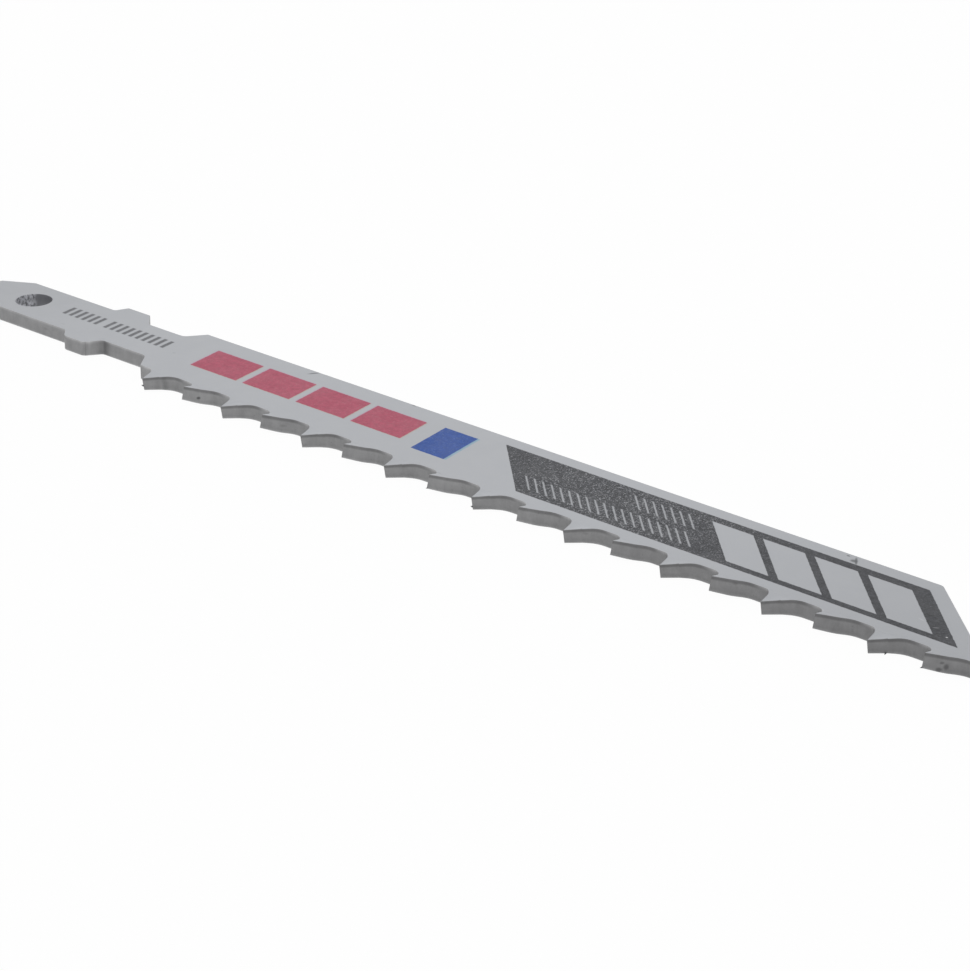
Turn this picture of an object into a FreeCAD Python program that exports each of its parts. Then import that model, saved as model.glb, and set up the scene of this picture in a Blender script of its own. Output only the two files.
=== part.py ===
import FreeCAD, Part
import math
import os
from FreeCAD import Vector

os.makedirs("parts", exist_ok=True)

# A jigsaw blade, one piece of flat steel strip: tang with two lugs at -X, toothed blade at +X.
# The outline is drawn on the flat strip, the teeth are then bent sideways one by one.
# While it is drawn, Y starts at the row of points and Z at the strip's lower face, and
# X starts where the first point would be if it stood in the regular row.
# Lengths are in millimetres and angles in degrees.

# Strip
strip_width = 9.525
strip_thickness = 1.2

# Teeth, which point to the tang; the gap before the second point is a little longer
tooth_pitch = 25.4 / 6
first_tooth_offset = 0.23
tooth_depth = 1.38
tooth_back_angle = 34.5
tooth_face_angle = 3.0
tooth_point_thickness = 1.04
gullet_floor_radius = 1.8
gullet_root_radius = 0.72

# Side set, bent alternately down and up from the floor of the gullets
set_angle_down = 10.4
set_angle_up = 15.8
set_bend_length = 0.7
set_bend_steps = 7

# Nose, cut at a slant from the back edge to the floor of the last gullet
nose_angle = 42.8
nose_reach = 75.9
nose_floor_least = 1.2
nose_back_radius = 0.6
nose_end_radius = 0.15

# Shoulders between the tang and the blade
shoulder_setback_back = 2.9
shoulder_setback_tooth = 2.0
shoulder_angle = 54.0
shoulder_root_radius = 0.7
shoulder_edge_radius = 0.12

# Tang
tang_axis_height = 5.47
tang_head_width = 5.66
tang_neck_width = 4.93
tang_end = 25.0
tang_end_bevel_length = 2.65
tang_end_bevel_angle = 29.3
tang_end_radius = 0.4
tang_corner_radius = 0.25

# Lugs of the tang, one on each edge
lug_reach_back = 3.94
lug_reach_tooth = 3.78
lug_place_back = 9.58
lug_place_tooth = 9.05
lug_length_back = 3.0
lug_length_tooth = 3.15
lug_upper_angle_back = 68.0
lug_upper_angle_tooth = 46.0
lug_lower_angle_back = 44.0
lug_lower_angle_tooth = 56.0
lug_root_radius = 0.35
lug_upper_corner_radius_back = 0.15
lug_upper_corner_radius_tooth = 0.7
lug_lower_corner_radius_back = 0.2
lug_lower_corner_radius_tooth = 0.6

# Hole through the tang
hole_radius = 1.5
hole_distance = 19.3


def tangent(angle):
    return math.tan(math.radians(angle))


def rounded_outline(corners):
    """Closed wire through (x, y, radius) corners, with an arc of that radius at each."""
    points = [Vector(x, y, 0) for x, y, radius in corners]
    edges = []
    starts = []
    ends = []
    for i, (x, y, radius) in enumerate(corners):
        corner = points[i]
        if radius == 0:
            starts.append(corner)
            ends.append(corner)
            edges.append(None)
            continue
        before = (points[i - 1] - corner).normalize()
        after = (points[(i + 1) % len(points)] - corner).normalize()
        half = before.getAngle(after) / 2
        reach = radius / math.tan(half)
        middle = (before + after).normalize()
        start = corner + before * reach
        end = corner + after * reach
        top = corner + middle * (radius / math.sin(half) - radius)
        starts.append(start)
        ends.append(end)
        edges.append(Part.Arc(start, top, end).toShape())
    wire = []
    for i, arc in enumerate(edges):
        if arc is not None:
            wire.append(arc)
        wire.append(Part.LineSegment(ends[i], starts[(i + 1) % len(edges)]).toShape())
    return Part.Wire(wire)


def tang_side(side):
    """Corners of one edge of the tang, from its end to the shoulder: +1 is the back, -1 the teeth."""
    on_back = side > 0
    head = tang_head_width / 2
    neck = tang_neck_width / 2
    lug = lug_reach_back if on_back else lug_reach_tooth
    place = lug_place_back if on_back else lug_place_tooth
    length = lug_length_back if on_back else lug_length_tooth
    upper_angle = lug_upper_angle_back if on_back else lug_upper_angle_tooth
    lower_angle = lug_lower_angle_back if on_back else lug_lower_angle_tooth
    upper_radius = lug_upper_corner_radius_back if on_back else lug_upper_corner_radius_tooth
    lower_radius = lug_lower_corner_radius_back if on_back else lug_lower_corner_radius_tooth
    setback = shoulder_setback_back if on_back else shoulder_setback_tooth
    strip_edge = strip_width if on_back else tooth_depth
    rise = abs(strip_edge - tang_axis_height) - neck
    upper_foot = -place - length
    steps = [
        (upper_foot, head, lug_root_radius),
        (upper_foot + (lug - head) / tangent(upper_angle), lug, upper_radius),
        (-place, lug, lower_radius),
        (-place + (lug - neck) / tangent(lower_angle), neck, lug_root_radius),
        (-setback - rise / tangent(shoulder_angle), neck, shoulder_root_radius),
        (-setback, neck + rise, shoulder_edge_radius),
    ]
    return [(x, tang_axis_height + side * y, radius) for x, y, radius in steps]


def tang_end_corners():
    """Corners of the tang's free end, from the tooth side round to the back."""
    low = tang_axis_height - tang_head_width / 2
    high = tang_axis_height + tang_head_width / 2
    bevel_drop = tang_end_bevel_length * tangent(tang_end_bevel_angle)
    return [
        (-tang_end, low, tang_end_radius),
        (-tang_end, high - bevel_drop, tang_end_radius),
        (-tang_end + tang_end_bevel_length, high, tang_corner_radius),
    ]


def point_places():
    """Distance along the blade of each tooth's point, as many as fit before the nose cut."""
    back_length = tooth_depth / tangent(tooth_back_angle)
    last = int((nose_reach - nose_floor_least - back_length) / tooth_pitch)
    places = [index * tooth_pitch for index in range(last + 1)]
    places[0] -= first_tooth_offset
    return places


def tooth_corners():
    """Corners of the row of teeth, from the gullet before the first point to the last gullet's floor."""
    corners = []
    for x in point_places():
        corners.append((x - tooth_depth * tangent(tooth_face_angle), tooth_depth, gullet_root_radius))
        corners.append((x, 0, 0))
        corners.append((x + tooth_depth / tangent(tooth_back_angle), tooth_depth, gullet_floor_radius))
    return corners


def nose_corners():
    """Corners where the nose cut meets the floor of the last gullet and the back of the strip."""
    back_x = nose_reach - (strip_width - tooth_depth) / tangent(nose_angle)
    return [
        (nose_reach, tooth_depth, nose_end_radius),
        (back_x, strip_width, nose_back_radius),
    ]


def flat_blank():
    """The blade before its teeth are set: flat strip with its outline and hole."""
    corners = tang_end_corners() + tang_side(1)
    corners += list(reversed(nose_corners()))
    corners += list(reversed(tooth_corners()))
    corners += list(reversed(tang_side(-1)))
    face = Part.Face(rounded_outline(corners))
    blank = face.extrude(Vector(0, 0, strip_thickness))
    hole = Part.makeCylinder(hole_radius, strip_thickness, Vector(-hole_distance, tang_axis_height, 0))
    return blank.cut(hole)


def below(height, left, right):
    """A block under the given height between two places along the strip, deeper than the teeth."""
    block = Part.makeBox(right - left, tooth_depth + strip_width, strip_thickness)
    block.translate(Vector(left, height - tooth_depth - strip_width, 0))
    return block


def thinning_block(height, left, right):
    """A wedge under the given height, thinned to a point's thickness at the row of points."""
    taper = (strip_thickness - tooth_point_thickness) / 2 / height
    past = tooth_depth / 2
    inset = taper * (height + past)
    corners = [
        Vector(left, height, 0),
        Vector(left, height, strip_thickness),
        Vector(left, -past, strip_thickness - inset),
        Vector(left, -past, inset),
    ]
    section = Part.Face(Part.makePolygon(corners + corners[:1]))
    return section.extrude(Vector(right - left, 0, 0))


def cross_section(tooth, height):
    """Rectangle in which a flat tooth is crossed by a plane across it at the given height."""
    if height < tooth.BoundBox.YMax:
        crossing = tooth.slice(Vector(0, 1, 0), height)[0]
    else:
        crossing = max(tooth.Faces, key=lambda face: face.CenterOfMass.y)
    edge = crossing.BoundBox
    corners = [
        Vector(edge.XMin, height, edge.ZMin),
        Vector(edge.XMax, height, edge.ZMin),
        Vector(edge.XMax, height, edge.ZMax),
        Vector(edge.XMin, height, edge.ZMax),
    ]
    return Part.makePolygon(corners + corners[:1])


def set_tooth(blank, point_x, side):
    """One tooth of the blank, thinned to its point and bent at its root: side +1 is up, -1 is down."""
    set_angle = set_angle_up if side > 0 else set_angle_down
    left = point_x - tooth_pitch / 4
    right = left + tooth_pitch * 1.4
    bend_radius = set_bend_length / math.radians(set_angle)
    axis_point = Vector(0, tooth_depth, strip_thickness / 2 + side * bend_radius)
    along = Vector(1, 0, 0)
    pieces = blank.common(below(tooth_depth, left, right)).Solids
    slab = min(pieces, key=lambda piece: piece.BoundBox.YMin)
    tooth = slab.common(thinning_block(tooth_depth, left, right))

    # The sections are closest together at the gullet floor, where the tooth widens fastest
    sections = []
    for step in range(set_bend_steps + 1):
        share = (step / set_bend_steps) ** 2
        depth = share * set_bend_length
        wire = cross_section(tooth, tooth_depth - depth)
        wire.translate(Vector(0, depth, 0))
        wire.rotate(axis_point, along, -side * share * set_angle)
        sections.append(wire)
    bend = Part.makeLoft(sections, True, False)

    straight = tooth.common(below(tooth_depth - set_bend_length, left, right))
    straight.translate(Vector(0, set_bend_length, 0))
    straight.rotate(axis_point, along, -side * set_angle)
    return bend.fuse(straight)


def make_blade():
    blank = flat_blank()
    tooth_zone = below(tooth_depth, -shoulder_setback_tooth, nose_reach)
    blade = blank.cut(tooth_zone)
    teeth = []
    for index, point_x in enumerate(point_places()):
        side = 1 if index % 2 else -1
        teeth.append(set_tooth(blank, point_x, side))
    return blade.multiFuse(teeth).removeSplitter()


blade = make_blade()
box = blade.BoundBox
# The origin is the middle of the blade's underside, level with the points of the teeth set down
blade.translate(Vector(-box.Center.x, -box.Center.y, -box.ZMin))
blade.exportStep("parts/blade.step")
print("blade", len(blade.Solids), blade.isValid(), round(blade.Volume, 2), blade.BoundBox)
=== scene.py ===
import math
import bpy
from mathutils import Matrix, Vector
from mathutils.bvhtree import BVHTree


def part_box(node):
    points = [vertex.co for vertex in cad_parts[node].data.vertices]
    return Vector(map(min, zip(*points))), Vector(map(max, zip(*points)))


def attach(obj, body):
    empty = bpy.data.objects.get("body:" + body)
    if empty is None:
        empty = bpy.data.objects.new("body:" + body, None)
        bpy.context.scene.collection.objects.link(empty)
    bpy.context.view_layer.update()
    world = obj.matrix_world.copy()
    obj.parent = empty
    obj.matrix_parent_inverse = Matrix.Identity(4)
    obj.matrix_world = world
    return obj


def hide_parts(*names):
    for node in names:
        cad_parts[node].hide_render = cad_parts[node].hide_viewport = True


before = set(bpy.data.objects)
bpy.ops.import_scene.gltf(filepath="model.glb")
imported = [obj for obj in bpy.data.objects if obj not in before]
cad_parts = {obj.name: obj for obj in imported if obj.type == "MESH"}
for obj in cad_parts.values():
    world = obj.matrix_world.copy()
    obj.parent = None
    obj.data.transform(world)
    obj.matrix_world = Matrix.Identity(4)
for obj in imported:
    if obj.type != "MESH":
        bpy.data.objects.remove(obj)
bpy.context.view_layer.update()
bladeLow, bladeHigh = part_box("blade")

# The blade's main sizes in millimetres
millimetre = 0.001                            # in metres, which all meshes are in
tangLength = 25.0
stripWidth = 9.525
toothPitch = 25.4 / 6


# Small helpers

def pickOnly(piece):
    bpy.ops.object.select_all(action="DESELECT")
    piece.select_set(True)
    bpy.context.view_layer.objects.active = piece


def inked(red, green, blue):
    # colour as a screen shows it, 0 to 255, turned into the linear values that a shader takes
    return [((c / 255 + 0.055) / 1.055) ** 2.4 for c in (red, green, blue)] + [1.0]


def drawn(point):
    # place on the blade in millimetres: x from where the tang's length ends, y from the row of points
    return (point.x - bladeLow.x) / millimetre - tangLength, (point.y - bladeHigh.y) / millimetre + stripWidth


def smoothStep(value, low, high):
    share = min(max((value - low) / (high - low), 0.0), 1.0)
    return share * share * (3.0 - 2.0 * share)


def groupOf(name, inputs, outputs):
    group = bpy.data.node_groups.new(name, "ShaderNodeTree")
    for label, kind, value in inputs:
        socket = group.interface.new_socket(label, in_out="INPUT", socket_type="NodeSocket" + kind)
        if value is not None:
            socket.default_value = value
    for label, kind in outputs:
        group.interface.new_socket(label, in_out="OUTPUT", socket_type="NodeSocket" + kind)
    return group, group.nodes.new("NodeGroupInput"), group.nodes.new("NodeGroupOutput")


def wire(tree, value, socket):
    # an output is linked to the socket, a number is typed into it
    if isinstance(value, bpy.types.NodeSocket):
        tree.links.new(value, socket)
    elif value is not None:
        socket.default_value = value


def maths(tree, operation, a, b=None, c=None):
    node = tree.nodes.new("ShaderNodeMath")
    node.operation = operation
    for value, socket in zip((a, b, c), node.inputs):
        wire(tree, value, socket)
    return node.outputs[0]


def largest(tree, masks):
    result = masks[0]
    for mask in masks[1:]:
        result = maths(tree, "MAXIMUM", result, mask)
    return result


def product(tree, masks):
    result = masks[0]
    for mask in masks[1:]:
        result = maths(tree, "MULTIPLY", result, mask)
    return result


def without(tree, mask):
    return maths(tree, "SUBTRACT", 1.0, mask)


def between(tree, value, low, high, toLow=0.0, toHigh=1.0):
    node = tree.nodes.new("ShaderNodeMapRange")
    node.interpolation_type = "SMOOTHSTEP"
    for v, label in ((value, "Value"), (low, "From Min"), (high, "From Max"), (toLow, "To Min"), (toHigh, "To Max")):
        wire(tree, v, node.inputs[label])
    return node.outputs["Result"]


def blend(tree, share, a, b):
    node = tree.nodes.new("ShaderNodeMix")
    node.data_type = "RGBA"
    wire(tree, share, node.inputs[0])
    wire(tree, a, node.inputs[6])
    wire(tree, b, node.inputs[7])
    return node.outputs[2]


def vectorMaths(tree, operation, a, b):
    node = tree.nodes.new("ShaderNodeVectorMath")
    node.operation = operation
    wire(tree, a, node.inputs[0])
    if operation == "SCALE":
        wire(tree, b, node.inputs["Scale"])
    else:
        wire(tree, b, node.inputs[1])
    return node.outputs[0]


def placed(tree, name, **values):
    node = tree.nodes.new("ShaderNodeGroup")
    node.node_tree = bpy.data.node_groups[name]
    for label, value in values.items():
        wire(tree, value, node.inputs[label])
    return node


def clouds(tree, vector, scale, detail, roughness, output="Fac"):
    node = tree.nodes.new("ShaderNodeTexNoise")
    wire(tree, vector, node.inputs["Vector"])
    node.inputs["Scale"].default_value = scale
    node.inputs["Detail"].default_value = detail
    node.inputs["Roughness"].default_value = roughness
    return node.outputs[output]


def stirred(tree, a, b, share):
    # so much of the first and the rest of the second
    return maths(tree, "ADD", maths(tree, "MULTIPLY", a, share), maths(tree, "MULTIPLY", b, 1.0 - share))


def aroundOne(tree, value, contrast):
    # noise about 0.5 turned into a tone about 1
    return maths(tree, "MULTIPLY_ADD", maths(tree, "SUBTRACT", value, 0.5), contrast, 1.0)


# Camera, where the photographer stood

cameraValues = {
    "place": (141.289, -153.061, 87.956),    # millimetres from the blade's middle
    "turn": (66.623, -0.228, 41.655),        # degrees
    "lens": 114.39,
    "sensor": 36.0,
    "nearest": 0.005,                        # metres
}


def makeCamera():
    bpy.ops.object.camera_add(location=Vector(cameraValues["place"]) * millimetre)
    camera = bpy.context.object
    camera.name = "camera"
    camera.rotation_euler = [math.radians(a) for a in cameraValues["turn"]]
    camera.data.lens = cameraValues["lens"]
    camera.data.sensor_width = cameraValues["sensor"]
    camera.data.clip_start = cameraValues["nearest"]
    bpy.context.scene.camera = camera


bpy.context.scene.view_settings.view_transform = "Standard"
makeCamera()
print("camera ready")


# Light and floor

lightValues = {
    "skyStrength": 0.78,
    "sky": (1.0, 1.0, 1.0, 1.0),
    "lamps": [
        # name, place and aim in metres, side in metres, watts
        ("lampAbove", (-0.05, 0.05, 0.60), (0.0, 0.0, 0.0), 0.6, 0.65),
    ],
    "floorSide": 4.0,
    "floorColour": (0.80, 0.80, 0.80, 1.0),
    "floorRoughness": 0.9,
    "floorSpecular": 0.0,
    "floorWhite": 0.97,                       # how much of the floor is plain white for the eye
}


def makeLamps():
    for name, place, aim, side, watts in lightValues["lamps"]:
        bpy.ops.object.light_add(type="AREA", location=place)
        lamp = bpy.context.object
        lamp.name = name
        lamp.data.size = side
        lamp.data.energy = watts
        lamp.rotation_euler = (Vector(aim) - Vector(place)).to_track_quat("-Z", "Y").to_euler()


def seenDirectly(tree):
    # 1 for rays that show the floor or sky to the eye, straight on or in a reflection
    path = tree.nodes.new("ShaderNodeLightPath")
    return largest(tree, [path.outputs[kind + " Ray"] for kind in ("Is Camera", "Is Glossy", "Is Transmission")])


def makeSky():
    world = bpy.data.worlds.new("studioSky")
    bpy.context.scene.world = world
    world.use_nodes = True
    tree = world.node_tree
    background = tree.nodes["Background"]
    background.inputs["Color"].default_value = lightValues["sky"]
    strength = between(tree, seenDirectly(tree), 0.0, 1.0, lightValues["skyStrength"], 1.0)
    tree.links.new(strength, background.inputs["Strength"])


def makeFloor():
    bpy.ops.mesh.primitive_plane_add(size=lightValues["floorSide"])
    floor = bpy.context.object
    floor.name = "floor"
    material = bpy.data.materials.new("paleFloor")
    material.use_nodes = True
    tree = material.node_tree
    shader = tree.nodes["Principled BSDF"]
    shader.inputs["Base Color"].default_value = lightValues["floorColour"]
    shader.inputs["Roughness"].default_value = lightValues["floorRoughness"]
    shader.inputs["Specular IOR Level"].default_value = lightValues["floorSpecular"]
    white = tree.nodes.new("ShaderNodeEmission")
    mix = tree.nodes.new("ShaderNodeMixShader")
    tree.links.new(maths(tree, "MULTIPLY", seenDirectly(tree), lightValues["floorWhite"]), mix.inputs[0])
    tree.links.new(shader.outputs[0], mix.inputs[1])
    tree.links.new(white.outputs[0], mix.inputs[2])
    tree.links.new(mix.outputs[0], tree.nodes["Material Output"].inputs["Surface"])
    floor.data.materials.append(material)


makeLamps()
makeSky()
makeFloor()
print("light and floor ready")


# Shared effects. Place is always in millimetres, x from where the tang's length ends and y from the row of points

def buildBarRow():
    # mask of a row of slanted bars
    inputs = [("Place", "Vector", None), ("Start", "Float", 0.0), ("Pitch", "Float", 1.0), ("Width", "Float", 0.5),
              ("Count", "Float", 1.0), ("Low", "Float", 0.0), ("High", "Float", 1.0), ("Slant", "Float", 1.0),
              ("Soft", "Float", 0.05)]
    tree, given, result = groupOf("barRow", inputs, [("Mask", "Float")])
    split = tree.nodes.new("ShaderNodeSeparateXYZ")
    tree.links.new(given.outputs["Place"], split.inputs[0])
    x, y = split.outputs[0], split.outputs[1]
    low, high, soft = (given.outputs[label] for label in ("Low", "High", "Soft"))
    middle = maths(tree, "MULTIPLY", maths(tree, "ADD", low, high), 0.5)
    lean = maths(tree, "MULTIPLY", maths(tree, "SUBTRACT", y, middle), given.outputs["Slant"])
    along = maths(tree, "SUBTRACT", maths(tree, "ADD", x, lean), given.outputs["Start"])
    turn = maths(tree, "DIVIDE", along, given.outputs["Pitch"])
    number = maths(tree, "FLOOR", turn)
    inBar = maths(tree, "MULTIPLY", maths(tree, "FRACT", turn), given.outputs["Pitch"])
    mask = product(tree, [
        between(tree, inBar, 0.0, soft),
        between(tree, maths(tree, "SUBTRACT", given.outputs["Width"], inBar), 0.0, soft),
        between(tree, maths(tree, "SUBTRACT", y, low), 0.0, soft),
        between(tree, maths(tree, "SUBTRACT", high, y), 0.0, soft),
        maths(tree, "GREATER_THAN", number, -0.5),
        maths(tree, "LESS_THAN", number, maths(tree, "SUBTRACT", given.outputs["Count"], 0.5)),
    ])
    tree.links.new(mask, result.inputs["Mask"])


def buildSpot():
    # mask of one soft oval mark, turned by an angle given as its cosine and sine
    inputs = [("Place", "Vector", None), ("X", "Float", 0.0), ("Y", "Float", 0.0), ("ReachX", "Float", 1.0),
              ("ReachY", "Float", 1.0), ("Cosine", "Float", 1.0), ("Sine", "Float", 0.0), ("Core", "Float", 0.3)]
    tree, given, result = groupOf("softSpot", inputs, [("Mask", "Float")])
    split = tree.nodes.new("ShaderNodeSeparateXYZ")
    tree.links.new(given.outputs["Place"], split.inputs[0])
    x = maths(tree, "SUBTRACT", split.outputs[0], given.outputs["X"])
    y = maths(tree, "SUBTRACT", split.outputs[1], given.outputs["Y"])
    cosine, sine = given.outputs["Cosine"], given.outputs["Sine"]
    u = maths(tree, "ADD", maths(tree, "MULTIPLY", x, cosine), maths(tree, "MULTIPLY", y, sine))
    v = maths(tree, "SUBTRACT", maths(tree, "MULTIPLY", y, cosine), maths(tree, "MULTIPLY", x, sine))
    u = maths(tree, "DIVIDE", u, given.outputs["ReachX"])
    v = maths(tree, "DIVIDE", v, given.outputs["ReachY"])
    far = maths(tree, "SQRT", maths(tree, "ADD", maths(tree, "MULTIPLY", u, u), maths(tree, "MULTIPLY", v, v)))
    tree.links.new(between(tree, far, given.outputs["Core"], 1.0, 1.0, 0.0), result.inputs["Mask"])


blastedValues = {
    # noise: cells to the millimetre, detail, roughness
    "fine": (9.0, 3.0, 0.65),
    "broad": (0.45, 3.0, 0.55),
    "fineShare": 0.55,
    "pits": (4.0, 4.0, 0.7),
    "pitEdge": (0.30, 0.36),
    "pitHeight": -0.5,
    # broad noise from and to, and the steel's roughness there
    "roughness": (0.3, 0.7, 0.46, 0.56),
}


def buildBlasted():
    # grit-blasted steel: a tone near 1, a height and a roughness
    inputs = [("Place", "Vector", None), ("Contrast", "Float", 0.1), ("Pits", "Float", 0.1)]
    outputs = [("Tone", "Float"), ("Height", "Float"), ("Roughness", "Float")]
    tree, given, result = groupOf("blastedSteel", inputs, outputs)
    place = given.outputs["Place"]
    fine, broad = (clouds(tree, place, *blastedValues[name]) for name in ("fine", "broad"))
    tone = aroundOne(tree, stirred(tree, fine, broad, blastedValues["fineShare"]), given.outputs["Contrast"])
    pits = between(tree, clouds(tree, place, *blastedValues["pits"]), *blastedValues["pitEdge"], 1.0, 0.0)
    tone = maths(tree, "MULTIPLY", tone, without(tree, maths(tree, "MULTIPLY", pits, given.outputs["Pits"])))
    tree.links.new(tone, result.inputs["Tone"])
    tree.links.new(maths(tree, "MULTIPLY_ADD", pits, blastedValues["pitHeight"], fine), result.inputs["Height"])
    tree.links.new(between(tree, broad, *blastedValues["roughness"]), result.inputs["Roughness"])


inkValues = {
    "drift": (3.5, 3.0, 0.6),
    "speckle": (8.0, 5.0, 0.75),
    "speckleEdge": (0.52, 0.66),
    "mottle": (2.4, 5.0, 0.75),
    # mottle noise from and to, and the ink's tone there
    "mottleTones": (0.32, 0.68, 0.70, 1.32),
}


def buildInk():
    # screen print on steel: a ragged place for its masks, a cover with fine gaps and a mottled tone
    inputs = [("Place", "Vector", None), ("Ragged", "Float", 0.1), ("Gaps", "Float", 0.4)]
    tree, given, result = groupOf("thinInk", inputs, [("Place", "Vector"), ("Cover", "Float"), ("Tone", "Float")])
    place = given.outputs["Place"]
    drift = vectorMaths(tree, "SUBTRACT", clouds(tree, place, *inkValues["drift"], "Color"), (0.5, 0.5, 0.5))
    drift = vectorMaths(tree, "SCALE", drift, given.outputs["Ragged"])
    tree.links.new(vectorMaths(tree, "ADD", place, drift), result.inputs["Place"])
    speckle = between(tree, clouds(tree, place, *inkValues["speckle"]), *inkValues["speckleEdge"])
    cover = without(tree, maths(tree, "MULTIPLY", speckle, given.outputs["Gaps"]))
    tree.links.new(cover, result.inputs["Cover"])
    tone = between(tree, clouds(tree, place, *inkValues["mottle"]), *inkValues["mottleTones"])
    tree.links.new(tone, result.inputs["Tone"])


streakValues = {
    # how much finer the noise is along x, y and z, and the noise itself
    "streakStretch": (1.0, 1.0, 0.35),
    "streaks": (1.9, 4.0, 0.6),
    "patchStretch": (0.6, 0.6, 1.6),
    "patches": (1.0, 3.0, 0.5),
    "streakShare": 0.55,
}


def buildCutEdge():
    # punched and milled wall: streaks across the thickness and patches, as a tone near 1 and a height
    inputs = [("Place", "Vector", None), ("Contrast", "Float", 0.3)]
    tree, given, result = groupOf("cutStreaks", inputs, [("Tone", "Float"), ("Height", "Float")])
    place = given.outputs["Place"]
    upright = vectorMaths(tree, "MULTIPLY", place, streakValues["streakStretch"])
    streaks = clouds(tree, upright, *streakValues["streaks"])
    level = vectorMaths(tree, "MULTIPLY", place, streakValues["patchStretch"])
    patches = clouds(tree, level, *streakValues["patches"])
    tone = aroundOne(tree, stirred(tree, streaks, patches, streakValues["streakShare"]), given.outputs["Contrast"])
    tree.links.new(tone, result.inputs["Tone"])
    tree.links.new(streaks, result.inputs["Height"])


buildBarRow()
buildSpot()
buildBlasted()
buildInk()
buildCutEdge()


# Finishes

finishValues = {
    "steel": inked(176, 178, 182),
    "darkSpot": inked(96, 98, 101),
    "lightSpot": inked(204, 205, 207),
    "metallic": 0.5,
    "roughness": 0.5,
    "specular": 0.25,
    # how strongly the blasted steel shows on each surface
    "printedGrain": {"Contrast": 0.10, "Pits": 0.06},
    "plainGrain": {"Contrast": 0.12, "Pits": 0.08},
    "wallGrain": {"Contrast": 0.36, "Pits": 0.22},
    # bump: strength, and distance in metres
    "faceBump": (0.2, 0.00002),
    "wallBump": (0.35, 0.00003),
    # the upper face is a little darker at both ends: from x to x, and the tones there
    "endFades": [(-24.0, -4.0, 0.93, 1.0), (38.0, 82.0, 1.0, 0.86)],
}


def objectPlace(tree):
    coords = tree.nodes.new("ShaderNodeTexCoord")
    mapping = tree.nodes.new("ShaderNodeMapping")
    tree.links.new(coords.outputs["Object"], mapping.inputs["Vector"])
    mapping.inputs["Scale"].default_value = [1.0 / millimetre] * 3
    x, y = drawn(Vector((0.0, 0.0, 0.0)))
    mapping.inputs["Location"].default_value = (x, y, 0.0)
    return mapping.outputs[0]


def spotMask(tree, place, x, y, reachX, reachY, turn=0.0, core=0.3):
    angle = math.radians(turn)
    return placed(tree, "softSpot", Place=place, X=x, Y=y, ReachX=reachX, ReachY=reachY, Cosine=math.cos(angle),
                  Sine=math.sin(angle), Core=core).outputs[0]


def newMaterial(name):
    material = bpy.data.materials.new(name)
    material.use_nodes = True
    tree = material.node_tree
    shader = tree.nodes["Principled BSDF"]
    shader.inputs["Metallic"].default_value = finishValues["metallic"]
    shader.inputs["Roughness"].default_value = finishValues["roughness"]
    shader.inputs["Specular IOR Level"].default_value = finishValues["specular"]
    return material, tree, shader


def bumped(tree, height, strength, distance, shader):
    bump = tree.nodes.new("ShaderNodeBump")
    bump.inputs["Strength"].default_value = strength
    bump.inputs["Distance"].default_value = distance
    wire(tree, height, bump.inputs["Height"])
    tree.links.new(bump.outputs[0], shader.inputs["Normal"])


def toned(tree, colour, tone):
    if not isinstance(colour, bpy.types.NodeSocket):
        colour = colour[:3]
    return vectorMaths(tree, "SCALE", colour, tone)


# The two broad faces: blasted steel, the upper one with its print

printValues = {
    "ragged": 0.10,
    "panelSoft": 0.07,
    "tickSoft": 0.12,
    "tickOpen": 0.8,                          # how far the ticks in the panel are bare
    # rows of bars: where the first bar crosses middle height, pitch, bar width, count, low, high, slant
    "panel": [(32.8, 40.0, 37.15, 1, 2.35, 8.38, 1.03)],
    "panelBars": [(51.7, 4.35, 3.6, 4, 2.95, 7.6, 1.03)],
    "panelTicks": [(43.4, 0.80, 0.30, 7, 5.6, 7.5, 1.03), (35.4, 0.80, 0.30, 19, 3.1, 5.0, 1.03)],
    "redBars": [(0.6, 5.75, 5.1, 4, 3.95, 7.6, 0.15)],
    "blueBar": [(24.6, 8.0, 3.3, 1, 3.2, 7.8, 0.15)],
    "tangTicks": [(-15.5, 0.74, 0.53, 6, 4.95, 6.60, 0.15), (-10.6, 0.74, 0.53, 10, 4.95, 6.60, 0.15)],
    "panelInk": inked(60, 61, 65),
    "redInk": inked(168, 75, 97),
    "blueInk": inked(40, 76, 150),
    "tangInk": inked(92, 93, 97),
    "magentaFringe": inked(180, 112, 152),
    "warmFringe": inked(180, 158, 134),
    "cyanFringe": inked(108, 160, 184),
    # coloured and grey bars, each over the last: row, ink, strength, shift and softness of the edges
    "layers": [
        ("redBars", "magentaFringe", 0.55, (0.10, -0.06, 0.0), 0.07),
        ("redBars", "warmFringe", 0.45, (-0.12, 0.06, 0.0), 0.07),
        ("redBars", "redInk", 1.0, None, 0.07),
        ("blueBar", "cyanFringe", 0.6, (-0.22, 0.0, 0.0), 0.07),
        ("blueBar", "blueInk", 1.0, None, 0.07),
        ("tangTicks", "tangInk", 0.95, None, 0.15),
    ],
    # the dark panel is worn through most near its first ticks: from x to x, and how far there
    "panelGaps": [(33.5, 38.0, 0.60, 1.0), (44.0, 60.0, 1.0, 0.15)],
    "colourGaps": 0.25,
    "colourMottle": 0.4,
    "inkMetallic": -0.4,                      # added to the steel's where ink covers it
    "inkHeight": 0.3,
}

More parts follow.
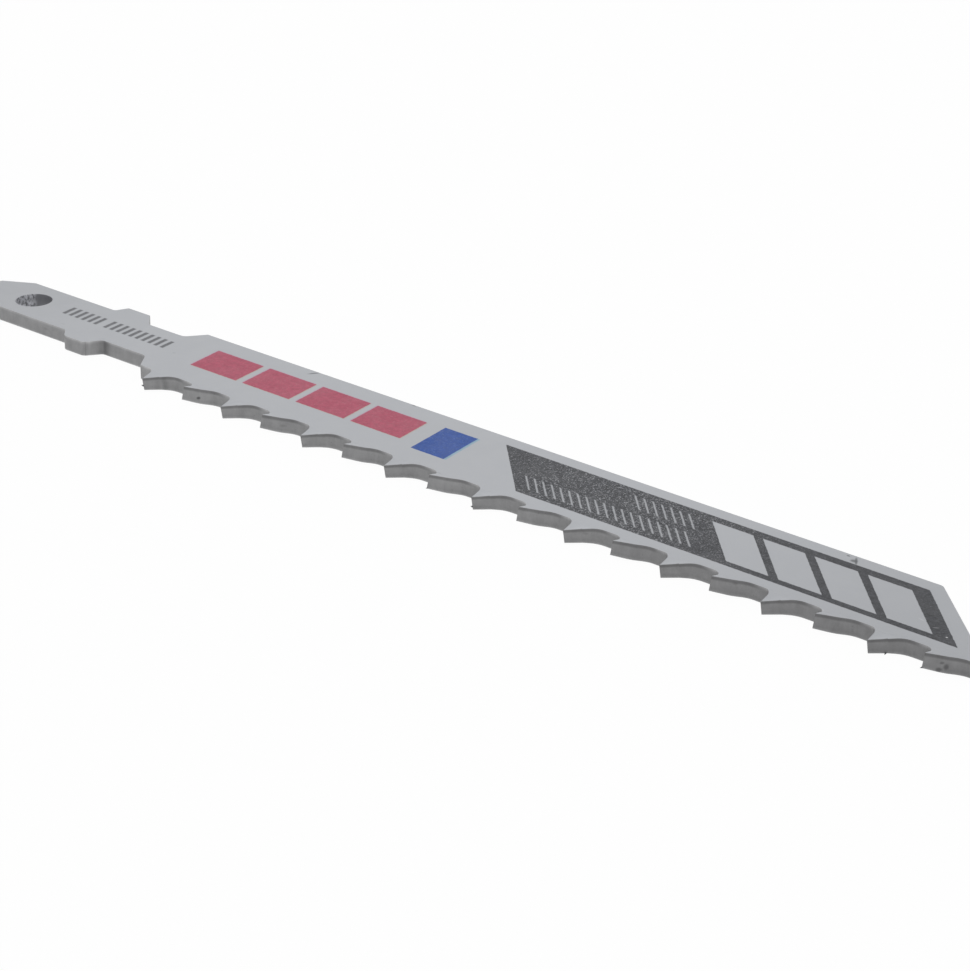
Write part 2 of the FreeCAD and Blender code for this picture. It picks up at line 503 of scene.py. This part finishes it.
# small marks on the upper face: x, y, reach along, reach across, turn, strength (below 0 is dark)
markPlaces = [
    (9.35, 9.12, 0.72, 0.16, 57.0, -0.75), (19.6, 9.40, 0.26, 0.12, 0.0, -0.55),
    (60.6, 8.80, 0.85, 0.14, -56.0, -0.85), (60.45, 8.75, 0.38, 0.30, 0.0, -0.80),
    (59.7, 9.18, 0.20, 0.12, 0.0, -0.85), (68.9, 4.30, 0.42, 0.10, -15.0, 0.22),
    (70.3, 3.90, 0.30, 0.09, 30.0, 0.22), (71.6, 3.20, 0.11, 0.09, 0.0, 0.95),
    (-13.3, 3.35, 0.30, 0.10, 8.0, -0.15), (-1.92, 4.89, 0.24, 0.16, 0.0, -0.14),
    (33.45, 1.10, 0.26, 0.12, 0.0, -0.16), (29.7, 1.14, 0.26, 0.14, 0.0, -0.18),
    (38.0, 0.55, 0.28, 0.12, 0.0, -0.12), (25.9, 0.18, 0.16, 0.10, 0.0, 0.75),
    (63.3, 1.10, 0.30, 0.20, 0.0, 0.35),
]


def rowMask(tree, place, rows, soft):
    masks = []
    for start, pitch, width, count, low, high, slant in rows:
        node = placed(tree, "barRow", Place=place, Start=start, Pitch=pitch, Width=width, Count=float(count), Low=low,
                      High=high, Slant=slant, Soft=soft)
        masks.append(node.outputs[0])
    return largest(tree, masks)


def markedSteel(tree, place, colour, marks):
    for x, y, reachX, reachY, turn, strength in marks:
        mask = spotMask(tree, place, x, y, reachX, reachY, turn)
        spot = finishValues["lightSpot" if strength > 0 else "darkSpot"]
        colour = blend(tree, maths(tree, "MULTIPLY", mask, abs(strength)), colour, spot)
    return colour


def inkLaid(tree, colour, ink, name, inkColour, strength, shift, soft):
    # one colour of the print over what lies under it, and the mask where it covers
    place = ink.outputs["Place"]
    if shift:
        place = vectorMaths(tree, "ADD", place, shift)
    mask = rowMask(tree, place, printValues[name], soft)
    cover = product(tree, [mask, ink.outputs["Cover"], strength])
    mottle = printValues["colourMottle"]
    tone = maths(tree, "MULTIPLY_ADD", ink.outputs["Tone"], mottle, 1.0 - mottle)
    return blend(tree, cover, colour, toned(tree, printValues[inkColour], tone)), cover


def panelMask(tree, ink):
    # the dark panel with its bars left bare and its ticks almost bare
    place = ink.outputs["Place"]
    panel = rowMask(tree, place, printValues["panel"], printValues["panelSoft"])
    bars = rowMask(tree, place, printValues["panelBars"], printValues["panelSoft"])
    ticks = rowMask(tree, place, printValues["panelTicks"], printValues["tickSoft"])
    opened = maths(tree, "MAXIMUM", bars, maths(tree, "MULTIPLY", ticks, printValues["tickOpen"]))
    return product(tree, [panel, without(tree, opened), ink.outputs["Cover"]])


def printedFace():
    material, tree, shader = newMaterial("printedFace")
    place = objectPlace(tree)
    split = tree.nodes.new("ShaderNodeSeparateXYZ")
    tree.links.new(place, split.inputs[0])
    steel = placed(tree, "blastedSteel", Place=place, **finishValues["printedGrain"])
    fades = [between(tree, split.outputs[0], *values) for values in finishValues["endFades"]]
    bare = toned(tree, finishValues["steel"], product(tree, [steel.outputs["Tone"]] + fades))

    gaps = product(tree, [between(tree, split.outputs[0], *values) for values in printValues["panelGaps"]])
    ink = placed(tree, "thinInk", Place=place, Ragged=printValues["ragged"], Gaps=gaps)
    covered = panelMask(tree, ink)
    colour = blend(tree, covered, bare, toned(tree, printValues["panelInk"], ink.outputs["Tone"]))

    ink = placed(tree, "thinInk", Place=place, Ragged=printValues["ragged"], Gaps=printValues["colourGaps"])
    for layer in printValues["layers"]:
        colour, cover = inkLaid(tree, colour, ink, *layer)
        covered = maths(tree, "MAXIMUM", covered, cover)
    colour = markedSteel(tree, place, colour, markPlaces)

    tree.links.new(colour, shader.inputs["Base Color"])
    metallic = maths(tree, "MULTIPLY_ADD", covered, printValues["inkMetallic"], finishValues["metallic"])
    tree.links.new(metallic, shader.inputs["Metallic"])
    tree.links.new(steel.outputs["Roughness"], shader.inputs["Roughness"])
    height = maths(tree, "MULTIPLY_ADD", covered, printValues["inkHeight"], steel.outputs["Height"])
    bumped(tree, height, *finishValues["faceBump"], shader)
    return material


def blastedFinish(name, colour, grain, bump):
    # plain blasted steel of one colour, for the lower face and the burrs
    material, tree, shader = newMaterial(name)
    steel = placed(tree, "blastedSteel", Place=objectPlace(tree), **finishValues[grain])
    tree.links.new(toned(tree, colour, steel.outputs["Tone"]), shader.inputs["Base Color"])
    tree.links.new(steel.outputs["Roughness"], shader.inputs["Roughness"])
    bumped(tree, steel.outputs["Height"], *finishValues[bump], shader)
    return material


# The cut walls, painted darker than the faces partly as shade of the sideways walls, with a dark line under the upper
# edge and a light one over the lower edge

wallValues = {
    # share of the wall's height from the upper edge, and the tone there: darker than the faces, partly as painted
    # shade of the sideways walls
    "bands": [(0.0, 150), (0.03, 120), (0.11, 112), (0.18, 120), (0.26, 140), (0.60, 139), (0.80, 135), (0.91, 141),
              (1.0, 172)],
    # where the edge is rolled over: lighter down from the upper edge, a painted highlight of the rounded edge
    "rolledHighlightBands": [(0.0, 176), (0.06, 165), (0.13, 151), (0.21, 141), (0.30, 138), (0.60, 138), (0.90, 141),
                    (1.0, 172)],
    "contrast": 0.72,
    # the wall is a little lighter towards the tang: from x to x, and the tones there
    "fade": (10.0, 80.0, 1.12, 0.87),
    # upright lines on the tooth side, from the lug to the first teeth: painted highlights on the lug's rounded corner
    # and painted shade in its inner corner, then lighter and darker lines at the first teeth: x, half width, strength
    "uprightLightAndShade": [(-9.30, 0.20, 0.20), (-8.95, 0.06, -0.40), (-8.76, 0.12, 0.28), (-7.92, 0.80, -0.80),
                     (-1.30, 0.90, 0.40), (1.19, 0.26, -0.45), (0.66, 0.30, -0.18)],
    "uprightDepth": 0.45,                        # change of tone at full strength
    "uprightMiddle": 2.0,
    "uprightReach": 40.0,                        # so long across the blade that they are upright lines
    "toothSideUnder": 4.0,                    # marks and specks only show on walls under this y
    # the upright lines of painted light and shade, and the specks, only show on walls under this y
    "specks": [(5.27, 0.64, 0.17, 0.15, 0.70), (72.85, 0.42, 0.22, 0.20, 0.50), (73.20, 0.62, 0.20, 0.26, 0.48),
               (72.95, 0.86, 0.16, 0.12, 0.40), (14.1, 0.70, 0.30, 0.14, 0.16), (56.4, 1.05, 0.20, 0.16, 0.22),
               (43.6, 0.85, 0.26, 0.12, 0.18), (-14.6, 0.75, 0.30, 0.12, 0.14)],
    "speckInk": inked(48, 48, 50),
    # hole: x, y and a reach just past its wall, which is painted in shade; it is rough with lighter streaks up to x
    # and evenly shaded from there on
    "hole": (-19.3, 5.47, 1.72),
    "holeShade": inked(120, 121, 125),
    "holeRoughTo": (-20.55, -20.2),
    "holeStretch": (1.0, 1.0, 0.6),
    "holeStreaks": (4.0, 3.0, 0.6),
    "holeTones": (0.38, 0.62, 0.80, 2.70),
}


def attributeOf(tree, name):
    attribute = tree.nodes.new("ShaderNodeAttribute")
    attribute.attribute_name = name
    return attribute.outputs["Fac"]


def bandRamp(tree, share, bands):
    ramp = tree.nodes.new("ShaderNodeValToRGB")
    stops = ramp.color_ramp.elements
    stops[1].position = 1.0
    for at, tone in bands:
        stop = stops[0] if at == 0.0 else stops[-1] if at == 1.0 else stops.new(at)
        stop.color = inked(tone, tone, tone + 1)
    tree.links.new(share, ramp.inputs[0])
    return ramp.outputs[0]


def cutWall():
    material, tree, shader = newMaterial("cutWall")
    place = objectPlace(tree)
    cut = placed(tree, "cutStreaks", Place=place, Contrast=wallValues["contrast"])
    grain = placed(tree, "blastedSteel", Place=place, **finishValues["wallGrain"])
    tone = maths(tree, "MULTIPLY", cut.outputs["Tone"], grain.outputs["Tone"])
    split = tree.nodes.new("ShaderNodeSeparateXYZ")
    tree.links.new(place, split.inputs[0])
    tone = maths(tree, "MULTIPLY", tone, between(tree, split.outputs[0], *wallValues["fade"]))
    toothSide = maths(tree, "LESS_THAN", split.outputs[1], wallValues["toothSideUnder"])
    # painted highlights and painted shade as upright lines on the tooth side, at the lug's corners and the first
    # teeth
    for x, reach, strength in wallValues["uprightLightAndShade"]:
        mask = spotMask(tree, place, x, wallValues["uprightMiddle"], reach, wallValues["uprightReach"], core=0.0)
        mask = maths(tree, "MULTIPLY", mask, toothSide)
        uprightTone = maths(tree, "MULTIPLY_ADD", mask, strength * wallValues["uprightDepth"], 1.0)
        tone = maths(tree, "MULTIPLY", tone, uprightTone)
    # tone by height on the wall, darker than the faces partly as painted shade of the sideways walls
    share = attributeOf(tree, "wallShare")
    bands = [bandRamp(tree, share, wallValues[name]) for name in ("bands", "rolledHighlightBands")]
    # where the edge is rolled over, the lighter bands are a painted highlight of the rounded edge
    colour = toned(tree, blend(tree, attributeOf(tree, "rolledEdge"), *bands), tone)

    upright = tree.nodes.new("ShaderNodeCombineXYZ")
    tree.links.new(split.outputs[0], upright.inputs[0])
    tree.links.new(split.outputs[2], upright.inputs[1])
    for x, z, reachX, reachZ, strength in wallValues["specks"]:
        mask = spotMask(tree, upright.outputs[0], x, z, reachX, reachZ)
        mask = product(tree, [mask, toothSide, strength])
        colour = blend(tree, mask, colour, wallValues["speckInk"])

    # painted shade inside the hole: its wall darker, evenly on the far part and with lighter streaks on the rough
    # part
    holeX, holeY, holeReach = wallValues["hole"]
    inHole = maths(tree, "GREATER_THAN", spotMask(tree, place, holeX, holeY, holeReach, holeReach, core=0.0), 0.0)
    stretched = vectorMaths(tree, "MULTIPLY", place, wallValues["holeStretch"])
    striped = between(tree, clouds(tree, stretched, *wallValues["holeStreaks"]), *wallValues["holeTones"])
    evenPart = between(tree, split.outputs[0], *wallValues["holeRoughTo"])
    holeTone = maths(tree, "ADD", evenPart, product(tree, [striped, without(tree, evenPart)]))
    colour = blend(tree, inHole, colour, toned(tree, wallValues["holeShade"], holeTone))

    tree.links.new(colour, shader.inputs["Base Color"])
    tree.links.new(grain.outputs["Roughness"], shader.inputs["Roughness"])
    height = maths(tree, "MULTIPLY", cut.outputs["Height"], without(tree, inHole))
    bumped(tree, height, *finishValues["wallBump"], shader)
    return material


# Steel blade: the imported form, with its edges broken as the punch and the grinding left them

bladeValues = {
    "mergeWithin": 0.05 * millimetre,
    "flatWithin": 0.5,                        # degrees
    "holeFromEnd": 5.7 * millimetre,
    "gulletDepth": 1.38 * millimetre,
    "bendStart": 0.24 * millimetre,           # so far below the gullets the bend is still almost flat
    "upperEdge": 0.045 * millimetre,
    "edgeSteps": 2,
    "lowerEdge": 0.5,                         # share of the upper edge's width
    "sideEdge": 0.6,
    # where the upper edge is rolled over: from x to x, the fades there, and the greatest y
    "lugReach": (-11.6, -8.1),
    "lugFades": (0.8, 0.5),
    "lugUnder": 2.8,
    "tangReach": (-1.9, 4.0),                 # up to this x, under this y
    "tangRolled": 0.8,                        # how far, where 1 is most
    "gulletFrom": -1.5,
    "gulletReach": (0.3, 1.6),                # from y to y
    "gulletFade": (1.9, 0.8),                 # so far before the next point
    "gulletRise": (0.5, 1.1),
    "thinnest": 0.01 * millimetre,            # least height of a wall that is reckoned with
    "sharpOver": 50.0,                        # degrees
    "smoothUnder": 38.0,
    "faceTilt": 0.86,                         # a face counts as upper or lower past this upright share
}


def sideOf(normal):
    # 0 upper face, 1 lower face, 2 wall
    if normal.z > bladeValues["faceTilt"]:
        return 0
    if normal.z < -bladeValues["faceTilt"]:
        return 1
    return 2


def mergedCopy(node, name):
    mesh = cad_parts[node].data.copy()
    mesh.materials.clear()
    piece = bpy.data.objects.new(name, mesh)
    bpy.context.scene.collection.objects.link(piece)
    pickOnly(piece)
    holeX = bladeLow.x + bladeValues["holeFromEnd"]
    bpy.ops.object.mode_set(mode="EDIT")
    bpy.ops.mesh.select_mode(type="FACE")
    bpy.ops.mesh.select_all(action="SELECT")
    bpy.ops.mesh.remove_doubles(threshold=bladeValues["mergeWithin"])
    # a cut straight through the hole stays, so that no flat face runs round the hole
    bpy.ops.mesh.bisect(plane_co=(holeX, 0.0, 0.0), plane_no=(1.0, 0.0, 0.0))
    bpy.ops.mesh.mark_seam()
    bpy.ops.mesh.select_all(action="SELECT")
    bpy.ops.mesh.dissolve_limited(angle_limit=math.radians(bladeValues["flatWithin"]), delimit={"SEAM"})
    bpy.ops.mesh.select_all(action="DESELECT")
    bpy.ops.object.mode_set(mode="OBJECT")
    # the narrow strips where each bend starts join the flat faces
    lowest = bladeHigh.y - stripWidth * millimetre + bladeValues["gulletDepth"] - bladeValues["bendStart"]
    for face in mesh.polygons:
        level = sideOf(face.normal) < 2 and face.center.x > holeX
        face.select = level and all(mesh.vertices[i].co.y > lowest for i in face.vertices)
    bpy.ops.object.mode_set(mode="EDIT")
    bpy.ops.mesh.dissolve_faces()
    bpy.ops.object.mode_set(mode="OBJECT")
    return piece


def rolledOver(point):
    # the punch rolled the upper edge over at the lug, along the tang and at the inner end of each gullet, where the
    # wall gets a painted highlight of the rounded edge: 1 is most
    x, y = drawn(point)
    lugFrom, lugTo = bladeValues["lugReach"]
    fadeIn, fadeOut = bladeValues["lugFades"]
    if lugFrom < x < lugTo and y < bladeValues["lugUnder"]:
        return min(smoothStep(x, lugFrom, lugFrom + fadeIn), smoothStep(x, lugTo, lugTo - fadeOut))
    tangTo, tangUnder = bladeValues["tangReach"]
    if x < tangTo and y < tangUnder:
        return bladeValues["tangRolled"]
    past = (x + toothPitch) % toothPitch
    low, high = bladeValues["gulletReach"]
    fadeFrom, fadeTo = bladeValues["gulletFade"]
    if x > bladeValues["gulletFrom"] and low < y < high:
        inner = smoothStep(past, toothPitch - fadeFrom, toothPitch - fadeTo)
        return inner * smoothStep(y, *bladeValues["gulletRise"])
    return 0.0


def breakEdges(piece):
    mesh = piece.data
    touching = {}
    for face in mesh.polygons:
        for key in face.edge_keys:
            touching.setdefault(key, []).append(face)
    weights = mesh.attributes.new("bevel_weight_edge", "FLOAT", "EDGE")
    for edge in mesh.edges:
        a, b = touching[edge.key]
        if math.degrees(a.normal.angle(b.normal)) < bladeValues["sharpOver"]:
            continue
        sides = {sideOf(a.normal), sideOf(b.normal)}
        if 0 in sides:
            weights.data[edge.index].value = 1.0
        elif 1 in sides:
            weights.data[edge.index].value = bladeValues["lowerEdge"]
        else:
            weights.data[edge.index].value = bladeValues["sideEdge"]
    bevel = piece.modifiers.new("brokenEdges", "BEVEL")
    bevel.limit_method = "WEIGHT"
    bevel.width = bladeValues["upperEdge"]
    bevel.segments = bladeValues["edgeSteps"]
    bevel.use_clamp_overlap = False
    pickOnly(piece)
    bpy.ops.object.modifier_apply(modifier=bevel.name)


def measureWalls(piece):
    # at each point, the share of the way down from the upper to the lower face and how far the edge is rolled over
    mesh = piece.data
    points = [v.co.copy() for v in mesh.vertices]
    trees = []
    for side in (0, 1):
        faces = [list(face.vertices) for face in mesh.polygons if sideOf(face.normal) == side]
        trees.append(BVHTree.FromPolygons(points, faces))
    share = mesh.attributes.new("wallShare", "FLOAT", "POINT")
    rolled = mesh.attributes.new("rolledEdge", "FLOAT", "POINT")
    for i, point in enumerate(points):
        under, over = (tree.find_nearest(point)[3] for tree in trees)
        share.data[i].value = under / max(under + over, bladeValues["thinnest"])
        rolled.data[i].value = rolledOver(point)


def makeBlade():
    piece = mergedCopy("blade", "blade_body")
    breakEdges(piece)
    measureWalls(piece)
    # upper face, lower face and walls, as sideOf numbers them
    piece.data.materials.append(printedFace())
    piece.data.materials.append(blastedFinish("plainFace", finishValues["steel"], "plainGrain", "faceBump"))
    piece.data.materials.append(cutWall())
    for face in piece.data.polygons:
        face.material_index = sideOf(face.normal)
    pickOnly(piece)
    bpy.ops.object.shade_smooth_by_angle(angle=math.radians(bladeValues["smoothUnder"]))
    level = piece.modifiers.new("flatFaces", "WEIGHTED_NORMAL")
    level.keep_sharp = True
    bpy.ops.object.modifier_apply(modifier=level.name)
    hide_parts("blade")
    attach(piece, "root")


makeBlade()
print("blade ready")


# Burrs left on a few points of the teeth

burrValues = {
    # foot from the blade's middle in millimetres, the way it points, length, width
    "burrs": [((-25.55, -4.67, 0.40), (-1.0, -0.15, 0.0), 0.22, 0.17),
              ((8.55, -4.64, 0.26), (-1.0, -0.15, 0.0), 0.18, 0.16),
              ((4.35, -4.73, 0.52), (-0.85, 0.0, -0.5), 0.24, 0.15),
              ((46.68, -4.73, 0.52), (-0.85, 0.0, -0.5), 0.26, 0.15),
              ((43.34, -3.95, 0.12), (0.3, -1.0, -0.15), 0.26, 0.15)],
    "corners": 5,
    "steel": inked(92, 93, 95),
}


def makeBurrs():
    burrs = []
    for foot, way, length, width in burrValues["burrs"]:
        way = Vector(way).normalized()
        middle = (Vector(foot) + way * length * 0.5) * millimetre
        bpy.ops.mesh.primitive_cone_add(vertices=burrValues["corners"], radius1=width * 0.5 * millimetre, radius2=0.0,
                                        depth=length * millimetre, location=middle,
                                        rotation=way.to_track_quat("Z", "Y").to_euler())
        burrs.append(bpy.context.object)
    pickOnly(burrs[0])
    for burr in burrs:
        burr.select_set(True)
    bpy.ops.object.join()
    piece = bpy.context.object
    piece.name = "edge_burrs"
    bpy.ops.object.transform_apply(location=True, rotation=True, scale=True)
    piece.data.materials.append(blastedFinish("burrSteel", burrValues["steel"], "wallGrain", "wallBump"))
    bpy.ops.object.shade_smooth_by_angle(angle=math.radians(bladeValues["smoothUnder"]))
    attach(piece, "root")


makeBurrs()
print("burrs ready")
